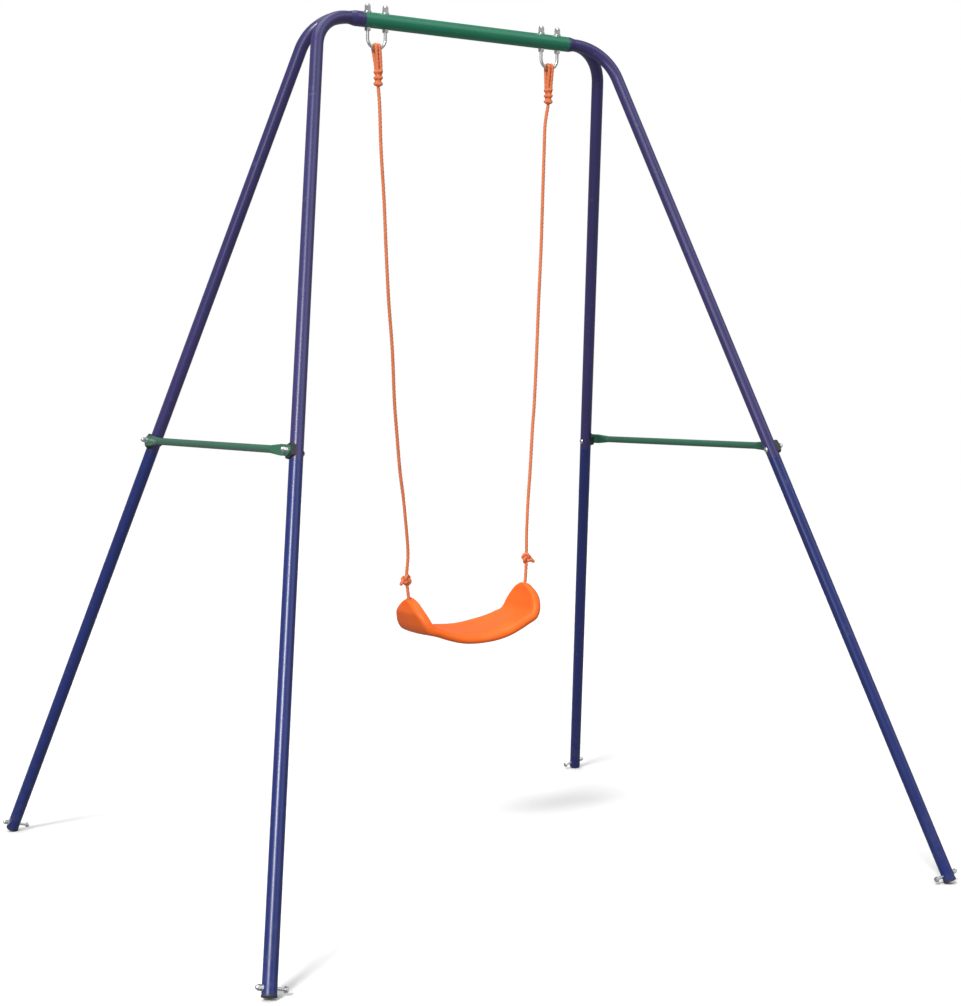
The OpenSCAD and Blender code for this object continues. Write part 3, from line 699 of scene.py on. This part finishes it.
class SWINGSET_OT_lashings(bpy.types.Operator):
    """Adds the eye of rope over each U-bolt and the turns that lash it shut"""

    bl_idname = "swingset.lashings"
    bl_label = "Eyes and lashings"

    def execute(self, context):
        rope = context.scene.swing_rope
        for side, sign in SIDES.items():
            low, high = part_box(f"rope_lashing_{side}")
            lash = np.array([(low.x + high.x) / 2, (low.y + high.y) / 2])
            low_eye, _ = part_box(f"rope_eye_{side}")
            radius = rope.diameter / 2
            rod_x = sign * ROD_X
            a = np.radians(np.arange(-10, 191, 10))
            over = np.stack([a * 0, EYE_R * np.cos(a), ROD_Z + EYE_R * np.sin(a)], 1)
            drawn = lash[0] - rod_x
            foot = low_eye.z - 0.012
            for number, dx in enumerate((-EYE_STRAND_X, EYE_STRAND_X)):
                legs = np.array([
                    [drawn, 0.0034, foot],
                    [drawn, 0.0040, foot + 0.012],
                    [drawn * 0.8, 0.0052, foot + 0.026],
                ])
                back = legs[::-1] * [1, -1, 1]
                line = np.vstack([legs, over, back]) + [rod_x + dx, 0, 0]
                line = even(curve_through(line, 6), 0.0012)
                obj = twisted(f"eye_strand_{side}_{number + 1}", line, radius, (1, 0, 0), rope)
                give(obj, rope_material(rope), f"rope_{side}", "rope")
            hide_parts(f"rope_eye_{side}")

            core_z = np.linspace(low.z + 0.001, high.z - 0.001, 60)
            core = np.stack([core_z * 0 + lash[0], core_z * 0 + lash[1], core_z], 1)
            inner = twisted(f"lashing_core_{side}", core, LASH_CORE_R, (1, 0, 0), rope, relief=0.2)
            give(inner, rope_material(rope), f"rope_{side}", "rope", f"rope_lashing_{side}")

            # Three tight turns round the core: circles that tip a little, one below the other
            turn = np.linspace(0, 2 * math.pi, 90)
            for number in range(LASH_TURNS):
                level = (low.z + high.z) / 2 + (number - (LASH_TURNS - 1) / 2) * LASH_PITCH
                ring = np.stack([
                    lash[0] + LASH_R * np.cos(turn + 1.1), lash[1] + LASH_R * np.sin(turn + 1.1),
                    level + LASH_TIP * np.cos(turn + 0.6 * number),
                ], 1)
                obj = twisted(
                    f"lashing_turn_{side}_{number + 1}", ring, radius * 1.06, (0, 0, 1), rope,
                    around=20,
                )
                give(obj, rope_material(rope), f"rope_{side}", "rope")
        return {"FINISHED"}


def seat_midline(half, drop, count):
    """Half of the seat's middle line in its own frame, from the pan's middle to the ear's mouth.

    It is the pan's wide arc, then the arc of the bend, then the straight of the ear. half and drop
    are the stopper's distance from the middle and its depth below the ear's mouth. The result is
    the distance along the line, its x and z, and the angle of its slope."""
    thick = SEAT_T / 2
    mouth_x = half + drop * math.cos(EAR_ANGLE)

    def bend_z(pan):
        return PAN_R * (1 - math.cos(pan)) + BEND_R * (math.cos(pan) - math.cos(EAR_ANGLE))

    # The pan's half length follows from where the mouth stands, in a few rounds
    flat = FIRST_FLAT
    for _ in range(FLAT_ROUNDS):
        pan = math.asin(flat / PAN_R)
        corner = flat + BEND_R * (math.sin(EAR_ANGLE) - math.sin(pan))
        reach = corner + (EAR_TOP - bend_z(pan)) / math.tan(EAR_ANGLE) - thick / math.sin(EAR_ANGLE)
        flat += mouth_x - reach
    pan = math.asin(flat / PAN_R)
    lift = (EAR_TOP - bend_z(pan) - thick * math.cos(EAR_ANGLE)) / math.sin(EAR_ANGLE)
    arcs = [(PAN_R - thick) * pan, (BEND_R - thick) * (EAR_ANGLE - pan), lift]
    run = np.linspace(0, sum(arcs), count)
    first, second = arcs[0], arcs[0] + arcs[1]
    along_bend = np.minimum(pan + (run - first) / (BEND_R - thick), EAR_ANGLE)
    angle = np.where(run < first, run / (PAN_R - thick), along_bend)
    pan_x = (PAN_R - thick) * np.sin(angle)
    pan_z = PAN_R - (PAN_R - thick) * np.cos(angle)
    bend_x = flat - BEND_R * math.sin(pan) + (BEND_R - thick) * np.sin(angle)
    bend_h = PAN_R * (1 - math.cos(pan)) + BEND_R * math.cos(pan) - (BEND_R - thick) * np.cos(angle)
    past = np.maximum(run - second, 0)
    x = np.where(run < first, pan_x, bend_x + past * math.cos(EAR_ANGLE))
    z = np.where(run < first, pan_z, bend_h + past * math.sin(EAR_ANGLE))
    return run, x, z, angle


class SWINGSET_OT_seat(bpy.types.Operator):
    """Adds the moulded seat: a dished pan that turns up into two rounded ears with rope mouths"""

    bl_idname = "swingset.seat"
    bl_label = "Seat"

    def execute(self, context):
        form = context.scene.swing_seat
        ends = [(lo + hi) / 2 for lo, hi in (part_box(f"rope_stopper_{side}") for side in SIDES)]
        middle, span = (ends[0] + ends[1]) / 2, ends[1] - ends[0]
        turn = math.atan2(span.z, span.x)
        run, x, z, angle = seat_midline(span.length / 2, STOPPER_DEPTH, 150)

        # Half of the rings, from the middle of the pan to the mouth
        top = run[-1]
        left = top - run
        fall = np.clip((EAR_TOP - z) / (form.width / 2), 0, 1)
        wide = form.width / 2 * np.maximum(2 * fall - fall**2, 0) ** EAR_ROUND
        wide = np.sqrt(np.maximum(wide, 0) ** 2 + MOUTH_LIP**2 * np.exp(-left / LIP_FADE))
        thick = SEAT_T / 2 - (SEAT_T / 2 - MOUTH_LIP) * np.exp(-left / WALL_FADE)
        pan = 1 - np.clip((run - PAN_FADE_FROM) / PAN_FADE_OVER, 0, 1)
        pan = (pan * pan * (3 - 2 * pan))[:, None]
        ear = np.clip((angle - BOW_FROM) / BOW_OVER, 0, 1) * np.clip(left / BOW_FADE, 0, 1)
        ear = (ear * ear * (3 - 2 * ear))[:, None]

        # A ring: two half circles joined by flats, at even steps of its length; y runs across the
        # seat and n along its normal
        flat = np.maximum(wide - thick, 0)[:, None]
        edge = thick[:, None]
        quarter = edge * math.pi / 2
        walk = np.linspace(0, 1, RING_POINTS, endpoint=False) * (4 * flat + 4 * quarter)
        bend = sum(
            np.clip(walk - start, 0, length)
            for start, length in (
                (0, quarter), (quarter + 2 * flat, 2 * quarter), (3 * quarter + 4 * flat, quarter)
            )
        ) / edge
        y = (
            flat
            - np.clip(walk - quarter, 0, 2 * flat)
            + np.clip(walk - 3 * quarter - 2 * flat, 0, 2 * flat)
            + edge * np.cos(bend)
        )
        n = edge * np.sin(bend)

        # Front lip rolls down, rear lip turns up, and the pan is a little hollow between them
        share = y / (form.width / 2)
        rear = np.clip((share - 0.35) / 0.65, 0, 1) ** 2
        front = np.clip((-share - 0.25) / 0.75, 0, 1) ** 2
        n = n + pan * (REAR_LIP * rear - FRONT_LIP * front + HOLLOW * share**2)

        # Each ear bows outwards, and its outer face swells between its edges
        n = n - ear * (EAR_BOW + EAR_SWELL * np.clip(-np.sin(bend), 0, 1) * (1 - share**2))
        rings = np.stack([
            x[:, None] - n * np.sin(angle)[:, None], y, z[:, None] + n * np.cos(angle)[:, None],
        ], 2)

        # The mouth: the last ring goes on inside, down a cone and then a bore
        depth = np.array([0.0, 0.0008, CONE_DEPTH, CONE_DEPTH + 0.004, 0.020, BORE_DEPTH])
        inner = np.array([MOUTH_R, MOUTH_R - 0.0006, BORE_R, BORE_R, BORE_R, BORE_R])
        round_it = np.linspace(0, 2 * math.pi, RING_POINTS, endpoint=False)
        up_ear = np.array([math.cos(EAR_ANGLE), 0, math.sin(EAR_ANGLE)])
        normal = np.array([-math.sin(EAR_ANGLE), 0, math.cos(EAR_ANGLE)])
        at = np.array([x[-1], 0, z[-1]]) - depth[:, None] * up_ear
        hole = at[:, None] + inner[:, None, None] * (
            np.cos(round_it)[:, None] * np.array([0, 1, 0]) + np.sin(round_it)[:, None] * normal
        )
        half = np.vstack([rings, hole])
        other = half * [-1, 1, 1]
        whole = np.vstack([other[::-1], half[1:]])

        # Into place, from the line between the two stoppers
        drop_z = EAR_TOP - STOPPER_DEPTH * math.sin(EAR_ANGLE)
        whole[:, :, 2] -= drop_z
        placed = np.stack([
            middle.x + whole[:, :, 0] * math.cos(turn) - whole[:, :, 2] * math.sin(turn),
            middle.y + whole[:, :, 1],
            middle.z + whole[:, :, 0] * math.sin(turn) + whole[:, :, 2] * math.cos(turn),
        ], 2)
        steps = np.linalg.norm(np.diff(placed.mean(1), axis=0), axis=1)
        obj = skin("moulded_seat", placed, np.concatenate([[0], np.cumsum(steps)]))
        give(obj, seat_plastic("Seat plastic", tuple(form.colour)), "seat", "seat_plastic", "seat")
        return {"FINISHED"}


class SWINGSET_OT_frame(bpy.types.Operator):
    """Gives the tubes, braces, plugs and bolts of the frame their finishes"""

    bl_idname = "swingset.frame"
    bl_label = "Frame finishes"

    def execute(self, context):
        look = context.scene.swing_frame
        finishes = {
            # The upper legs and the corner stubs take the blue coat with the painted violet sheen
            "upper_leg": powder_coat("Blue coat with painted sheen", tuple(look.leg_colour_with_sheen)),
            "lower_leg": powder_coat("Blue coat", tuple(look.foot_colour)),
            "beam_tube": powder_coat("Green coat", tuple(look.beam_colour)),
            "brace_left": powder_coat("Brace green coat", tuple(look.brace_colour)),
            "foot_plug": black_plastic("Black plastic", tuple(look.plastic_colour)),
            "rope_stopper": rope_material(context.scene.swing_rope),
        }
        finishes["corner_stub"] = finishes["upper_leg"]
        finishes["brace_right"] = finishes["brace_left"]
        finishes["saddle"] = finishes["foot_plug"]
        zinc = zinc_plate("Zinc plate", tuple(look.zinc_colour))
        for name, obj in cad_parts.items():
            match = [material for start, material in finishes.items() if name.startswith(start)]
            obj.data.materials.clear()
            obj.data.materials.append(match[0] if match else zinc)
        return {"FINISHED"}


class SWINGSET_PT_panel(bpy.types.Panel):
    """Lists the parts of the swing set"""

    bl_idname = "SWINGSET_PT_panel"
    bl_label = "Swing Set"
    bl_space_type = "VIEW_3D"
    bl_region_type = "UI"
    bl_category = "Swing Set"

    def draw(self, context):
        layout = self.layout
        for settings in ("swing_stage", "swing_rope", "swing_seat", "swing_frame"):
            group = getattr(context.scene, settings)
            box = layout.box()
            for key in group.__annotations__:
                box.prop(group, key)
        for operator in OPERATORS:
            layout.operator(operator.bl_idname)


SETTINGS = {
    "swing_stage": SwingStageSettings,
    "swing_rope": SwingRopeSettings,
    "swing_seat": SwingSeatSettings,
    "swing_frame": SwingFrameSettings,
}
OPERATORS = (
    SWINGSET_OT_stage,
    SWINGSET_OT_knots,
    SWINGSET_OT_ropes,
    SWINGSET_OT_lashings,
    SWINGSET_OT_seat,
    SWINGSET_OT_frame,
)


def register():
    for cls in (*SETTINGS.values(), *OPERATORS, SWINGSET_PT_panel):
        bpy.utils.register_class(cls)
    for name, cls in SETTINGS.items():
        setattr(bpy.types.Scene, name, PointerProperty(type=cls))


def unregister():
    for name in SETTINGS:
        delattr(bpy.types.Scene, name)
    for cls in reversed((*SETTINGS.values(), *OPERATORS, SWINGSET_PT_panel)):
        bpy.utils.unregister_class(cls)


def main():
    register()
    bpy.ops.swingset.stage()
    bpy.ops.swingset.knots()
    bpy.ops.swingset.ropes()
    bpy.ops.swingset.lashings()
    bpy.ops.swingset.seat()
    bpy.ops.swingset.frame()


if __name__ == "__main__":
    main()
